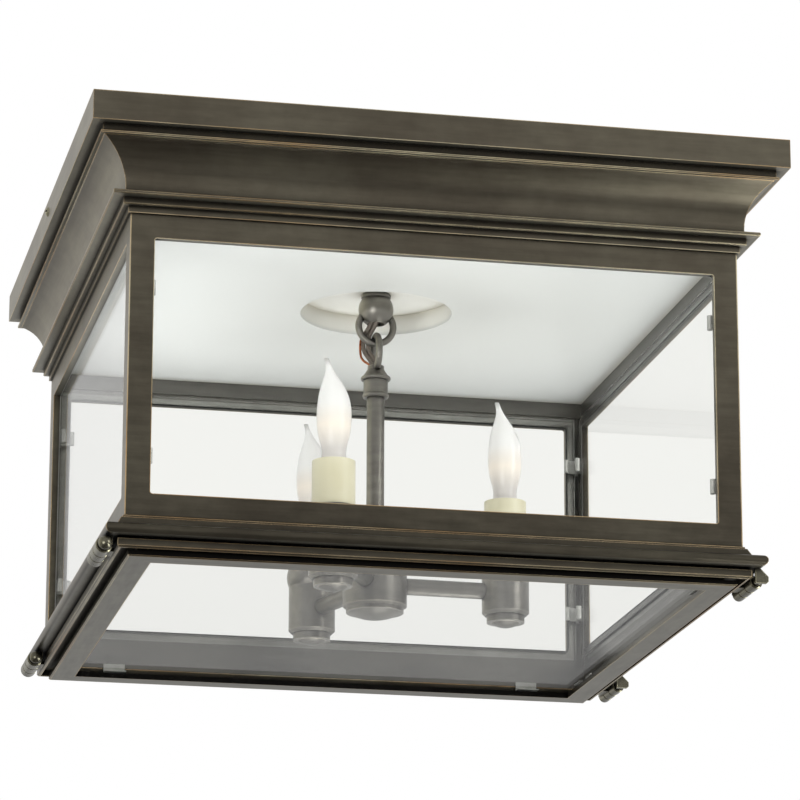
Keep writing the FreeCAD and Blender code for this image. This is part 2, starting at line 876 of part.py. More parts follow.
def candle_sleeve():
    low = cup_bottom + cup_wall
    inner = candle_radius - candle_wall
    tube = upright_tube(candle_radius, inner, low, candle_top)
    return moved(tube, candle_distance)


def lampholder():
    # Insulating body on a threaded tube that runs down through the cup.
    top = bulb_low - bulb_seat_gap
    low = top - holder_length
    foot = cup_bottom - cup_ring_height
    floor = bulb_low - base_length - holder_floor_gap
    body = upright_rod(holder_radius, low, top).cut(upright_rod(holder_bore, floor, top))
    post = upright_tube(holder_stem_radius, holder_stem_bore, foot, low)
    return moved(body.fuse(post), candle_distance)


def bulb():
    # Bent-tip lamp lofted through round sections along its leaning middle line.
    span = 1 - bulb_lean_start_share
    sections = []
    for height_share, radius_share in bulb_shares:
        lean = bulb_tip_lean * (max(0.0, height_share - bulb_lean_start_share) / span) ** 2
        angle = bulb_lean_angle * pi / 180
        centre = Vector(lean * cos(angle), lean * sin(angle), height_share * bulb_height)
        sections.append(Part.Wire(Part.makeCircle(radius_share * bulb_radius, centre, UP)))
    return moved(Part.makeLoft(sections, True), z=candle_top)


def bulb_base():
    # Screw shell, drawn plain, with the centre contact.
    low = bulb_low - base_length
    return turned([
        (0.0, bulb_low), (base_radius, bulb_low), (base_radius, low + base_contact_height),
        (base_contact_radius, low), (0.0, low),
    ])


def wire_points(route, top_x, top_y, end_x, end_y):
    top = ball_level - ball_radius + lead_in_ball
    low = cone_top
    gap = top - low
    points = [Vector(top_x, top_y, top)]
    for x, y, share in route:
        points.append(Vector(x * ring_radius, y * ring_radius, top - share * gap))
    points.append(Vector(end_x, end_y, low - cone_height / 2))
    points.append(Vector(end_x, end_y, low - cone_height - sleeve_height))
    return points


def supply_leads():
    # Two insulated leads side by side, from the ball down the stem into the hub.
    leads = []
    tail = hub_top - hub_wall - lead_in_hub
    first = wire_points(lead_route_shares, -lead_shift, -lead_shift, 0.0, -lead_shift)
    for side in (-1, 1):
        shift = Vector(side * lead_pitch / 2, 0, 0)
        points = [point.add(shift) for point in first]
        curved = bent_rod(points, lead_radius)
        end = points[-1]
        straight = Part.makeCylinder(lead_radius, end.z - tail, Vector(end.x, end.y, tail))
        leads.append(curved.fuse(straight).removeSplitter())
    return Part.makeCompound(leads)


def earth_wire():
    tail = hub_top - hub_wall - lead_in_hub
    points = wire_points(earth_route_shares, -2 * earth_shift_x, earth_shift_y,
                         -earth_shift_x, earth_shift_y)
    curved = bent_rod(points, earth_radius)
    end = points[-1]
    straight = Part.makeCylinder(earth_radius, end.z - tail, Vector(end.x, end.y, tail))
    return curved.fuse(straight).removeSplitter()


def save(name, shape):
    shape.exportStep("parts/%s.step" % name)
    print(name, len(shape.Solids), "solids", round(shape.Volume), shape.isValid())


def save_crown():
    save("mounting_strap", mounting_strap())
    save("cap_band", cap_band())
    save("cap_screws", cap_screws())
    save("crown_cove", crown_cove())
    save("crown_neck", crown_neck())
    save("ceiling_panel", ceiling_panel())


def save_sides():
    sides = {"right": 0, "rear": 90, "left": 180, "front": 270}
    frame, glass, clips = window_frame(), window_pane(), window_clips()
    for name, degrees in sides.items():
        save("%s_frame" % name, spun(frame, degrees))
        save("%s_glass" % name, spun(glass, degrees))
        save("%s_glass_clips" % name, spun(clips, degrees))
    save("base_moulding", base_moulding())


def save_door():
    save("door_frame", door_frame())
    save("door_rim", door_rim())
    save("door_glass", door_glass())
    save("door_glass_clips", door_clips())


def save_hinge_side():
    starts = barrel_starts(hinge_from_front_corner, hinge_from_rear_corner)
    knuckles = fixed_knuckles(starts, hinge_knuckle_radius, hinge_level)
    stops = [stop_lug(start) for start in starts]
    pins = [ball_pin(start, hinge_ball_radius, hinge_level) for start in starts]
    save("hinge_lugs", Part.makeCompound(knuckles + stops))
    save("door_hinge_knuckles", door_knuckles(starts, hinge_knuckle_radius, hinge_level))
    save("hinge_pins", Part.makeCompound(pins))


def save_latch_side():
    starts = barrel_starts(latch_from_front_corner, latch_from_rear_corner)
    knuckles = Part.makeCompound(fixed_knuckles(starts, latch_knuckle_radius, latch_level))
    front, rear = [ball_pin(start, latch_ball_radius, latch_level) for start in starts]
    save("latch_lugs", mirrored(knuckles))
    save("door_latch_knuckles",
         mirrored(door_knuckles(starts, latch_knuckle_radius, latch_level)))
    save("front_latch_pin", mirrored(front))
    save("rear_latch_pin", mirrored(rear))


def save_cluster():
    save("ball_loop", ball_loop())
    save("loop_nipple", loop_nipple())
    save("loop_locknut", loop_locknut())
    save("stem_loop", stem_loop())
    save("stem_ring", stem_ring())
    save("stem", stem())
    save("hub", hub())
    save("hub_cap", hub_cap())
    save("supply_leads", supply_leads())
    save("earth_wire", earth_wire())
    for name, angle in arm_angles.items():
        save("%s_arm" % name, spun(arm(), angle))
        save("%s_cup" % name, spun(cup(), angle))
        save("%s_candle_sleeve" % name, spun(candle_sleeve(), angle))
        save("%s_lampholder" % name, spun(lampholder(), angle))
        across = candle_distance * cos(angle * pi / 180)
        along = candle_distance * sin(angle * pi / 180)
        save("%s_bulb" % name, moved(bulb(), across, along))
        save("%s_bulb_base" % name, moved(bulb_base(), across, along))
    save("cup_nuts", Part.makeCompound([spun(cup_nut(), a) for a in arm_angles.values()]))


save_crown()
save_sides()
save_door()
save_hinge_side()
save_latch_side()
save_cluster()
print("stem between its ring and the hub %.1f" % (stem_ring_top - stem_ring_height - hub_top))
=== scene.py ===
# %% [markdown]
# # A square glazed ceiling lantern in aged bronze
# This lesson dresses a finished model of a flush ceiling light. The case, its panes, the
# drop-down door, the ball-headed pins and the candle cluster come ready made, each as its own
# object at its real size in metres. The middle of the top face is the origin, +Z is up and the
# front of the lantern faces -Y.
# What is left for us is what the eye judges first: the camera, the light round the lantern,
# and the finish of every surface.

# %% Load the model
import json
from math import pi, radians

import bpy
from mathutils import Matrix, Vector


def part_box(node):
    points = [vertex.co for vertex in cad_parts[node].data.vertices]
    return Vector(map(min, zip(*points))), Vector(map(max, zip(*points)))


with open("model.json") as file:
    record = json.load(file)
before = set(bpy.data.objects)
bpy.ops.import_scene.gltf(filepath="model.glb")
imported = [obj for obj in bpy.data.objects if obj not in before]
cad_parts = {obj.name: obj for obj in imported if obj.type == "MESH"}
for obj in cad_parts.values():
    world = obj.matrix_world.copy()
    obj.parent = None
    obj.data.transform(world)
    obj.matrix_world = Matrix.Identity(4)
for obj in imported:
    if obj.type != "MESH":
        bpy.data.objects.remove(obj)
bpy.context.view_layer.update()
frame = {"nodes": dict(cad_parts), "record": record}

# %% [markdown]
# ## The camera
# The photograph was taken from below and a little to the left of the front, from about 2.8 m
# away with a long lens, so the upright edges stay nearly parallel. A camera can be aimed with
# a Track To constraint, but a lens that was solved from the corners of the case is better set
# by its three angles, because a constraint has no place for the small roll.

# %% Place the camera
eye = Vector((-0.52607, -2.57461, -0.85664))
turn_right = radians(11.908)
look_up = radians(15.546)
roll = radians(0.131)
sensor_mm = 36.0
lens_mm = 181.85

camera_data = bpy.data.cameras.new("camera")
camera_data.sensor_width = sensor_mm
camera_data.lens = lens_mm
camera_data.clip_start = 0.1
camera_data.clip_end = 60.0
camera = bpy.data.objects.new("camera", camera_data)
bpy.context.scene.collection.objects.link(camera)
aim = Matrix.Rotation(-turn_right, 4, "Z") @ Matrix.Rotation(pi / 2 + look_up, 4, "X")
camera.matrix_world = Matrix.Translation(eye) @ aim @ Matrix.Rotation(roll, 4, "Z")
bpy.context.scene.camera = camera
print("camera is", round(eye.length, 2), "m from the ceiling point")

# %% [markdown]
# ## Small helpers for node trees
# Every finish below is a graph of shader nodes. Adding nodes by hand takes three lines each,
# so one helper makes a node, sets its plain values and links what feeds it. A value that is a
# socket gets linked, and anything else is written into the input.

# %% Make nodes and materials
def add_node(tree, kind, inputs=None, **settings):
    node = tree.nodes.new(kind)
    for key, value in settings.items():
        setattr(node, key, value)
    for key, value in (inputs or {}).items():
        socket = node.inputs[key]
        if isinstance(value, bpy.types.NodeSocket):
            tree.links.new(value, socket)
        else:
            socket.default_value = value
    return node


def new_material(name):
    material = bpy.data.materials.new(name)
    material.use_nodes = True
    material.node_tree.nodes.clear()
    return material, material.node_tree


def finish_material(tree, shader):
    output = add_node(tree, "ShaderNodeOutputMaterial")
    tree.links.new(shader, output.inputs["Surface"])


print("helpers for nodes and materials are ready")

# %% [markdown]
# ## Sums inside a material
# Most of a finish is arithmetic: where a face lies, which way it looks and how much of a
# colour it gets. Blender does each step in a node of its own. Short helpers let us write the
# steps as a formula, and the result is still plain nodes that can be opened and looked at.

# %% Helpers for arithmetic and place
def sums(tree, operation, first, second=0.0, clamp=False):
    node = add_node(tree, "ShaderNodeMath", {0: first, 1: second}, operation=operation)
    node.use_clamp = clamp
    return node.outputs[0]


def product(tree, first, *others):
    for other in others:
        first = sums(tree, "MULTIPLY", first, other)
    return first


def axes(tree, vector):
    return add_node(tree, "ShaderNodeSeparateXYZ", {0: vector}).outputs


def mixed(tree, share, first, second):
    # Mixes two plain values, where blend_colours below mixes two colours.
    return add_node(tree, "ShaderNodeMix", {0: share, 2: first, 3: second}).outputs[0]


def spread(tree, value, low, high, to_low=0.0, to_high=1.0):
    # Stretches a value from one range to another and holds it at the ends.
    node = add_node(tree, "ShaderNodeMapRange", {
        "Value": value, "From Min": low, "From Max": high, "To Min": to_low, "To Max": to_high,
    })
    return node.outputs["Result"]


def place(tree):
    # Position on the lantern in metres, the same for every piece.
    return add_node(tree, "ShaderNodeTexCoord").outputs["Object"]


print("helpers for arithmetic are ready")

# %% [markdown]
# ## The studio
# The photograph has no floor or wall in it, only white. A lantern in dark metal and clear
# glass is mostly a mirror of what stands round it, so the surroundings matter more than the
# lamps. One way is a big sphere of light cards. Here the sky itself is white to the camera
# and through glass, and softer to everything that it merely lights. Polished metal would
# mirror the dim room in front of the lantern and the white paper behind it, so what metal
# sees brightens from the front towards the back. The pale floor lies far below, so that even
# a camera straight under the lantern stands above it. It glows white to the camera as the sky
# does, and a share of plain paint in it keeps the shadow.

# %% Sky
sky = bpy.data.worlds.new("studio_sky")
bpy.context.scene.world = sky
sky.use_nodes = True
tree = sky.node_tree
tree.nodes.clear()
rays = add_node(tree, "ShaderNodeLightPath").outputs
seen = sums(tree, "MAXIMUM", rays["Is Camera Ray"], rays["Is Transmission Ray"])
sky_fill = 0.58
mirrored_ahead = 0.52
mirrored_behind = 0.68
aimed = add_node(tree, "ShaderNodeTexCoord").outputs["Generated"]
ahead_ends, behind_starts = -0.2, 0.7
mirrored = spread(tree, axes(tree, aimed)[1], ahead_ends, behind_starts,
                  mirrored_ahead, mirrored_behind)
unseen = mixed(tree, rays["Is Glossy Ray"], sky_fill, mirrored)
strength = mixed(tree, seen, unseen, 1.0)
sky_shader = add_node(tree, "ShaderNodeBackground",
                      {"Color": (1.0, 1.0, 1.0, 1.0), "Strength": strength})
world_output = add_node(tree, "ShaderNodeOutputWorld")
tree.links.new(sky_shader.outputs[0], world_output.inputs["Surface"])
print("metal mirrors the sky at", mirrored_ahead, "ahead and at", mirrored_behind, "behind")


# %% Floor
def flat_card(name, width, depth, centre):
    mesh = bpy.data.meshes.new(name)
    signs = ((-1, -1), (1, -1), (1, 1), (-1, 1))
    corner_shade = [(x * width / 2, y * depth / 2, 0.0) for x, y in signs]
    mesh.from_pydata(corner_shade, [], [(0, 1, 2, 3)])
    card = bpy.data.objects.new(name, mesh)
    card.location = centre
    bpy.context.scene.collection.objects.link(card)
    return card


floor_level = -4.2
floor_size = 40.0
floor = flat_card("studio_floor", floor_size, floor_size, (0.0, 0.0, floor_level))
floor_paint, tree = new_material("floor_paint")
rays = add_node(tree, "ShaderNodeLightPath").outputs
straight = sums(tree, "MAXIMUM", rays["Is Camera Ray"], rays["Is Transmission Ray"])
seen = sums(tree, "MAXIMUM", straight, rays["Is Glossy Ray"])
mirrored_near = 0.12
mirrored_far = 0.36
near_ends, far_starts = -2.5, 0.3
floor_mirrored = spread(tree, axes(tree, place(tree))[1], near_ends, far_starts,
                        mirrored_near, mirrored_far)
matt = add_node(tree, "ShaderNodeBsdfDiffuse", {"Color": (0.82, 0.82, 0.82, 1.0)})
glow = add_node(tree, "ShaderNodeEmission", {
    "Color": (1.0, 1.0, 1.0, 1.0), "Strength": mixed(tree, straight, floor_mirrored, 1.0)})
glow_share = 0.86
most = product(tree, seen, glow_share)
both = add_node(tree, "ShaderNodeMixShader", {0: most, 1: matt.outputs[0], 2: glow.outputs[0]})
finish_material(tree, both.outputs[0])
floor.data.materials.append(floor_paint)
print("floor is", -floor_level, "m under the ceiling")

# %% [markdown]
# ## Lamps
# Three wide lamps do the modelling. Large soft boxes make long soft highlights on turned
# brass, where point lamps would make hard dots. Two cards under the lantern are seen only
# in mirror images. The grey one gives the hollow of the cove something darker to
# mirror, as a photographer's flag does, and the bright one ends that dark stretch at the
# right, where the cove shines in the photograph.

# %% Soft boxes and cards
def soft_box(name, where, target, width, height, power):
    lamp = bpy.data.lights.new(name, "AREA")
    lamp.shape = "RECTANGLE"
    lamp.size = width
    lamp.size_y = height
    lamp.energy = power
    thing = bpy.data.objects.new(name, lamp)
    thing.location = where
    thing.rotation_euler = (Vector(target) - Vector(where)).to_track_quat("-Z", "Y").to_euler()
    bpy.context.scene.collection.objects.link(thing)
    return thing


middle = (0.0, 0.0, -0.15)
soft_box("front_left_box", (-1.6, -2.2, -1.0), middle, 1.2, 1.2, 24.0)
soft_box("front_right_box", (2.0, -1.8, 0.3), middle, 1.0, 1.4, 18.0)
soft_box("under_box", (0.6, 0.4, -2.6), middle, 1.4, 1.4, 19.0)


def mirrored_card(name, width, depth, centre, light):
    card = flat_card(name, width, depth, centre)
    paint, tree = new_material(name + "_paint")
    glow = add_node(tree, "ShaderNodeEmission", {"Color": (*light, 1.0), "Strength": 1.0})
    finish_material(tree, glow.outputs[0])
    card.data.materials.append(paint)
    card.visible_camera = False
    card.visible_diffuse = False
    card.visible_transmission = False
    card.visible_shadow = False


mirrored_card("grey_flag", 1.6, 2.7, (-0.26, -0.2, -1.25), (0.035, 0.03, 0.027))
mirrored_card("bright_card", 0.7, 1.7, (1.15, -0.7, -1.25), (7.4, 7.5, 7.3))

# %% [markdown]
# ## Aged bronze for the mouldings
# The mouldings are brass strip, darkened in a bath and then rubbed back. Three things make
# it read as that and not as brown paint: fine brush lines that run along each strip, soft
# clouds where the bath took unevenly, and arrises where the cloth wore through to pale brass.
# That pale brass is painted paler still, as a painted highlight along each arris.
# The brush lines need to know which way a strip runs. Each side's strips meet the next
# side's on the diagonal, so comparing x with y tells the two directions apart.

# %% Colours, mottle and brush lines
mottle_size = 75.0
broad = (0.3, 0.7)
bottom_level, top_level = -0.27, -0.02


def blend_colours(tree, share, first, second, kind="MIX"):
    node = tree.nodes.new("ShaderNodeMix")
    node.data_type = "RGBA"
    node.blend_type = kind
    for index, value in ((0, share), (6, first), (7, second)):
        if isinstance(value, bpy.types.NodeSocket):
            tree.links.new(value, node.inputs[index])
        elif index == 0:
            node.inputs[index].default_value = value
        else:
            node.inputs[index].default_value = (*value, 1.0)
    return node.outputs[2]


def from_screen(red, green, blue):
    # Turns a colour as read on a screen, 0 to 255, into the light it stands for.
    return tuple((c / 255 / 12.92) if c < 10 else ((c / 255 + 0.055) / 1.055) ** 2.4
                 for c in (red, green, blue))


def noise(tree, where, scale, detail=3.0, roughness=0.5):
    node = add_node(tree, "ShaderNodeTexNoise", {
        "Vector": where, "Scale": scale, "Detail": detail, "Roughness": roughness,
    })
    return node.outputs["Fac"]


def brush_lines(tree, where, length=0.05, width=0.0012):
    x, y, z = axes(tree, where)
    runs_y = sums(tree, "GREATER_THAN", sums(tree, "ABSOLUTE", x), sums(tree, "ABSOLUTE", y))
    along = mixed(tree, runs_y, x, y)
    across = mixed(tree, runs_y, y, x)
    stretched = add_node(tree, "ShaderNodeCombineXYZ", {
        0: sums(tree, "DIVIDE", along, length), 1: sums(tree, "DIVIDE", across, width),
        2: sums(tree, "DIVIDE", z, width),
    })
    return noise(tree, stretched.outputs[0], 1.0, 2.0, 0.6)


def unevenness(tree, where, lines, brushed, low_share):
    # Darker towards the bottom, with the bath's mottle, wipes and brush lines.
    depth = spread(tree, axes(tree, where)[2], bottom_level, top_level, low_share, 1.0)
    mottle = spread(tree, noise(tree, where, mottle_size, 4.0, 0.65), *broad, -0.06, 0.06)
    wipes = spread(tree, brush_lines(tree, where, 0.035, 0.005), *broad, -0.09, 0.09)
    mottle = sums(tree, "ADD", mottle, wipes)
    streaks = spread(tree, lines, *broad, -brushed, brushed)
    light = sums(tree, "ADD", sums(tree, "ADD", mottle, depth), streaks)
    return light, mottle


print("a mid grey on screen is", round(from_screen(128, 128, 128)[0], 3), "in light")

# %% [markdown]
# ## Worn arrises and painted shade in the gaps
# The worn arris could be painted, but a Bevel node finds it anywhere: where the rounded
# normal leans away from the flat one, there is an edge, and it gets pale brass as wear and as
# a painted highlight. Hollow corners do the same, so an Ambient Occlusion node keeps the wear
# off them and paints shade into them instead. It looks twice, a short way for painted shade
# in creases and further out for the painted black shade in the gaps between strips.

# %% Masks for wear, highlight and painted shade
crease_reach = 0.004
gap_reach = 0.009
rub_size = 38.0
lean_starts, lean_full = 0.015, 0.07
clear_starts, clear_full = 0.66, 0.90


def lean_of_edges(tree, radius):
    bevel = add_node(tree, "ShaderNodeBevel", {"Radius": radius}, samples=6)
    flat = add_node(tree, "ShaderNodeNewGeometry").outputs["Normal"]
    alike = add_node(tree, "ShaderNodeVectorMath", {0: bevel.outputs[0], 1: flat},
                     operation="DOT_PRODUCT").outputs["Value"]
    return sums(tree, "SUBTRACT", 1.0, alike, clamp=True)


def openness(tree, reach):
    shade = add_node(tree, "ShaderNodeAmbientOcclusion", {"Distance": reach}, samples=6)
    return shade.outputs["AO"]


def worn_and_highlit_edges(tree, where, radius, open_near, wear_and_highlight):
    # Worn brass on the arrises, painted paler also as a highlight in place of the glint of a
    # rounded edge.
    lean = lean_of_edges(tree, radius)
    edge = product(tree, spread(tree, lean, lean_starts, lean_full),
                   spread(tree, open_near, clear_starts, clear_full))
    rub = noise(tree, where, rub_size, 4.0, 0.6)
    return product(tree, edge, spread(tree, rub, 0.30, 0.55, 0.5 * wear_and_highlight, wear_and_highlight))


print("dirt is looked for", 1000 * crease_reach, "and", 1000 * gap_reach, "mm from a surface")

# %% [markdown]
# ## Where the finish goes by place
# Inside the case no cloth ever reached, so its faces stay plain grey, with painted light
# where a pane covers them. The sides of the flat rim are painted black as shade, and the
# left side of the lantern gets less painted shade than the rest, as the light falls from
# the left. The limits of those places are read from the boxes of the nodes, so they follow
# the model when it changes.

# %% Limits of the places
door_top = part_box("door_frame")[1].z
rim_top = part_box("door_rim")[1].z
inner_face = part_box("right_frame")[0].x
outer_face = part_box("right_frame")[1].x
pane_low, pane_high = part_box("rear_glass")
# A pane overlaps its window by 6 mm, and a hair keeps a face off its own limit.
pane_overlap = 0.006
hair = 0.0004
window_half = pane_high.x - pane_overlap + hair
window_bottom = pane_low.z + pane_overlap - hair
window_top = pane_high.z - pane_overlap + hair
print("the case is glazed from", round(1000 * door_top), "mm up, its frames are",
      round(1000 * (outer_face - inner_face), 1), "mm thick")

# %% Masks by direction
down_starts, down_full = -0.85, -0.98
left_starts, left_full = -0.5, -0.9


def opposite(tree, share):
    return sums(tree, "SUBTRACT", 1.0, share)


def own_normal(tree):
    # The normal in the piece's own axes, so the finish stays when the door swings.
    return axes(tree, add_node(tree, "ShaderNodeTexCoord").outputs["Normal"])


def facing_down(tree):
    return spread(tree, own_normal(tree)[2], down_starts, down_full)


def facing_left(tree):
    return spread(tree, own_normal(tree)[0], left_starts, left_full)


print("a face counts as looking down from a normal of", down_starts, "to", down_full)


# %% Masks by place
def between(tree, value, low, high):
    above = sums(tree, "GREATER_THAN", value, low)
    return product(tree, above, sums(tree, "LESS_THAN", value, high))


def far_and_near(tree, where):
    # The larger and the smaller of the two distances from the middle, sideways and forwards.
    x, y, z = axes(tree, where)
    x, y = sums(tree, "ABSOLUTE", x), sums(tree, "ABSOLUTE", y)
    return sums(tree, "MAXIMUM", x, y), sums(tree, "MINIMUM", x, y), z


def inside_case(tree, where):
    # One on every face inside the glazed case, and nothing on the reveals of the windows.
    reach, beside, z = far_and_near(tree, where)
    inside = product(tree, sums(tree, "LESS_THAN", reach, outer_face - hair),
                     sums(tree, "GREATER_THAN", z, door_top))
    reveal = product(tree, sums(tree, "LESS_THAN", beside, window_half),
                     between(tree, z, window_bottom, window_top),
                     sums(tree, "GREATER_THAN", reach, inner_face + hair))
    return product(tree, inside, opposite(tree, reveal))


def behind_pane(tree, where):
    # One on the strip of a frame that its own pane covers from within.
    reach, beside, z = far_and_near(tree, where)
    return product(tree, sums(tree, "LESS_THAN", beside, pane_high.x),
                   between(tree, z, pane_low.z, pane_high.z),
                   sums(tree, "GREATER_THAN", reach, inner_face - hair))


def side_of_rim(tree, where):
    # One on the upright faces of the flat rim under the door.
    upright = sums(tree, "LESS_THAN", sums(tree, "ABSOLUTE", own_normal(tree)[2]), 0.5)
    return product(tree, upright, sums(tree, "LESS_THAN", axes(tree, where)[2], rim_top))


def on_left_side(tree, where):
    x, y = axes(tree, where)[:2]
    return sums(tree, "GREATER_THAN", product(tree, x, -1.0), sums(tree, "ABSOLUTE", y))


print("windows are", round(2000 * window_half), "mm wide between the frames")

# %% [markdown]
# ## Mixing the bronze
# One recipe makes all three bronzes, in layers: the bath and its clouds, darker towards the
# bottom, painted light on faces that look down or left, painted shade in the creases and
# gaps, and bare brass with a painted highlight on the arrises last. Only the mouldings take
# the masks by place. The pins, knuckles and screws are smoother and brighter, and the
# fittings of the candle cluster are greyer and less worn.

# %% Recipe for bronze
cloud_size, hue_size = 11.0, 6.0
gentle = (0.36, 0.64)
underside_light_share, inner_share = 0.85, 0.75
rim_side_shade, left_side_shade, left_face_shade = 0.95, 0.45, 0.15
left_face_gain = (1.60, 1.58, 1.42)
crease_shade_full, crease_shade_ends = 0.40, 0.88
gap_shade_full, gap_shade_ends = 0.46, 0.86


def bronze(name, plain, cloud, underside_light, worn_brass_and_highlight, warm, painted_shade, rough=0.36, edge_radius=0.0011,
           brushed=0.025, inner=None, pane_light_colour=None, gap_shade_strength=0.97, low_share=0.70, wear_and_highlight=1.0):
    material, tree = new_material(name)
    where = place(tree)
    lines = brush_lines(tree, where)
    patches = spread(tree, noise(tree, where, cloud_size, 5.0, 0.6), *gentle)
    colour = blend_colours(tree, patches, plain, cloud)
    # Painted light: faces that look down are painted paler, as the bright floor lights them from
    # below.
    colour = blend_colours(tree, product(tree, facing_down(tree), underside_light_share), colour, underside_light)
    if inner:
        inwards = inside_case(tree, where)
        outwards = opposite(tree, inwards)
        colour = blend_colours(tree, product(tree, inwards, inner_share), colour, inner)
        # Painted light: the strip of frame behind each pane is painted paler, as too little light
        # gets through the glass.
        pane_light_share = product(tree, inwards, behind_pane(tree, where))
        colour = blend_colours(tree, pane_light_share, colour, pane_light_colour)
    light, mottle = unevenness(tree, where, lines, brushed, low_share)
    colour = blend_colours(tree, 1.0, colour, add_node(
        tree, "ShaderNodeCombineColor", {0: light, 1: light, 2: light}).outputs[0], "MULTIPLY")

    open_near = openness(tree, crease_reach)
    open_far = openness(tree, gap_reach)
    if inner:
        open_near = sums(tree, "MAXIMUM", open_near, inwards)
        open_far = sums(tree, "MAXIMUM", open_far, inwards)
    edge = worn_and_highlit_edges(tree, where, edge_radius, open_near, wear_and_highlight)
    # Painted shade: creases and the gaps between strips are painted near black by ambient
    # occlusion.
    crease_shade = spread(tree, open_near, crease_shade_full, crease_shade_ends, 1.0, 0.0)
    gap_shade = spread(tree, open_far, gap_shade_full, gap_shade_ends, gap_shade_strength, 0.0)
    leftwards = facing_left(tree)
    if inner:
        rim_side = side_of_rim(tree, where)
        edge = product(tree, edge, outwards, opposite(tree, rim_side))
        # Painted shade: the upright sides of the rim are painted near black, like the dark gap
        # under the door frame.
        gap_shade = sums(tree, "MAXIMUM", gap_shade, product(tree, rim_side, rim_side_shade))
        # Less painted shade on the left side of the lantern, where the light falls.
        left_side_lit = product(tree, on_left_side(tree, where), outwards)
        gap_shade = product(tree, gap_shade, mixed(tree, left_side_lit, 1.0, left_side_shade))
        leftwards = product(tree, leftwards, outwards)
    # Faces that look left get less painted shade, and below they are painted brighter, as the
    # light comes from the left.
    gap_shade = product(tree, gap_shade, mixed(tree, leftwards, 1.0, left_face_shade))

    left_face_light = blend_colours(tree, leftwards, (1.0, 1.0, 1.0), left_face_gain)
    colour = blend_colours(tree, 1.0, colour, left_face_light, "MULTIPLY")
    colour = blend_colours(tree, gap_shade, colour, painted_shade)
    colour = blend_colours(tree, crease_shade, colour, painted_shade)
    hue = spread(tree, noise(tree, where, hue_size, 2.0), 0.40, 0.60)
    # The arrises take pale brass, as wear and as a painted highlight.
    colour = blend_colours(tree, edge, colour, blend_colours(tree, hue, worn_brass_and_highlight, warm))
    polish = spread(tree, lines, 0.25, 0.75, rough - 0.02, rough + 0.03)
    polish = sums(tree, "ADD", polish, product(tree, gap_shade, 0.25))
    bump = add_node(tree, "ShaderNodeBump", {
        "Strength": 0.04, "Distance": 0.0003, "Height": sums(tree, "ADD", lines, mottle)})
    shader = add_node(tree, "ShaderNodeBsdfPrincipled", {
        "Base Color": colour, "Metallic": 0.9, "Roughness": polish, "Normal": bump.outputs[0]})
    finish_material(tree, shader.outputs[0])
    return material


print("left faces are", left_face_gain[0], "times as bright as the rest in red")

# %% The three bronzes
case_bronze = bronze("aged_bronze", from_screen(100, 93, 80), from_screen(116, 110, 95),
                     from_screen(170, 166, 152), from_screen(246, 232, 194),
                     from_screen(218, 176, 122), from_screen(8, 7, 7),
                     inner=from_screen(114, 113, 111), pane_light_colour=from_screen(164, 163, 160),
                     rough=0.31, low_share=0.61)
hardware_bronze = bronze("bronze_hardware", from_screen(120, 116, 100),
                         from_screen(146, 142, 122), from_screen(150, 146, 132),
                         from_screen(240, 236, 205), from_screen(226, 214, 170),
                         from_screen(22, 20, 18), 0.26, 0.0007)
fitting_bronze = bronze("bronze_fittings", from_screen(126, 123, 117), from_screen(142, 139, 133),
                        from_screen(150, 148, 142), from_screen(226, 222, 208),
                        from_screen(210, 200, 180), from_screen(22, 21, 20), 0.34, 0.0008,
                        gap_shade_strength=0.45, low_share=0.55, wear_and_highlight=0.4)
print("bronze finishes", case_bronze.name, hardware_bronze.name, fitting_bronze.name)

# %% [markdown]
# ## Window glass
# The panes are real sheets with two faces, so a Principled shader with full transmission
# gives both reflections and the slight shift of what lies behind. The photograph shows
# glass that mirrors little: seen flat on it is nearly invisible, and only at a slant does it
# veil the rails behind it. That is how coated picture glass behaves, and an index well under
# that of plain glass stands in for the coat. Light can't find its way through refracting
# faces by itself within a few bounces, so rays on their way to a lamp pass straight through
# a Transparent shader.

# %% Glass
def clear_glass():
    material, tree = new_material("clear_glass")
    where = place(tree)
    film = noise(tree, where, 9.0, 3.0)
    body = add_node(tree, "ShaderNodeBsdfPrincipled", {
        "Base Color": (0.945, 0.947, 0.930, 1.0), "Transmission Weight": 1.0, "IOR": 1.075,
        "Roughness": spread(tree, film, 0.45, 0.75, 0.0, 0.02),
    })
    straight = add_node(tree, "ShaderNodeBsdfTransparent", {"Color": (0.93, 0.94, 0.935, 1.0)})
    rays = add_node(tree, "ShaderNodeLightPath").outputs
    both = add_node(tree, "ShaderNodeMixShader",
                    {0: rays["Is Shadow Ray"], 1: body.outputs[0], 2: straight.outputs[0]})
    finish_material(tree, both.outputs[0])
    return material


window_glass = clear_glass()
print("glass made:", window_glass.name)

# %% [markdown]
# ## Painted, plated and moulded finishes
# The rest share one recipe: a base colour with a slow cloud, a finer speckle in the
# roughness and a shallow bump. The white panel is enamel with a soft orange peel. It has
# painted shade in a warm grey in its recess and its hollow corners, and a flat grey painted
# shade over its middle that fades out towards the walls and to the left. The clips are dull
# spring steel, and the sleeves are ivory board with a satin coat and painted shade in
# their corners.

# %% Recipe for plain finishes
panel_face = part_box("ceiling_panel")[0].z
recess_starts = panel_face + 0.0005
recess_full = panel_face + 0.003
corner_reach = 0.01


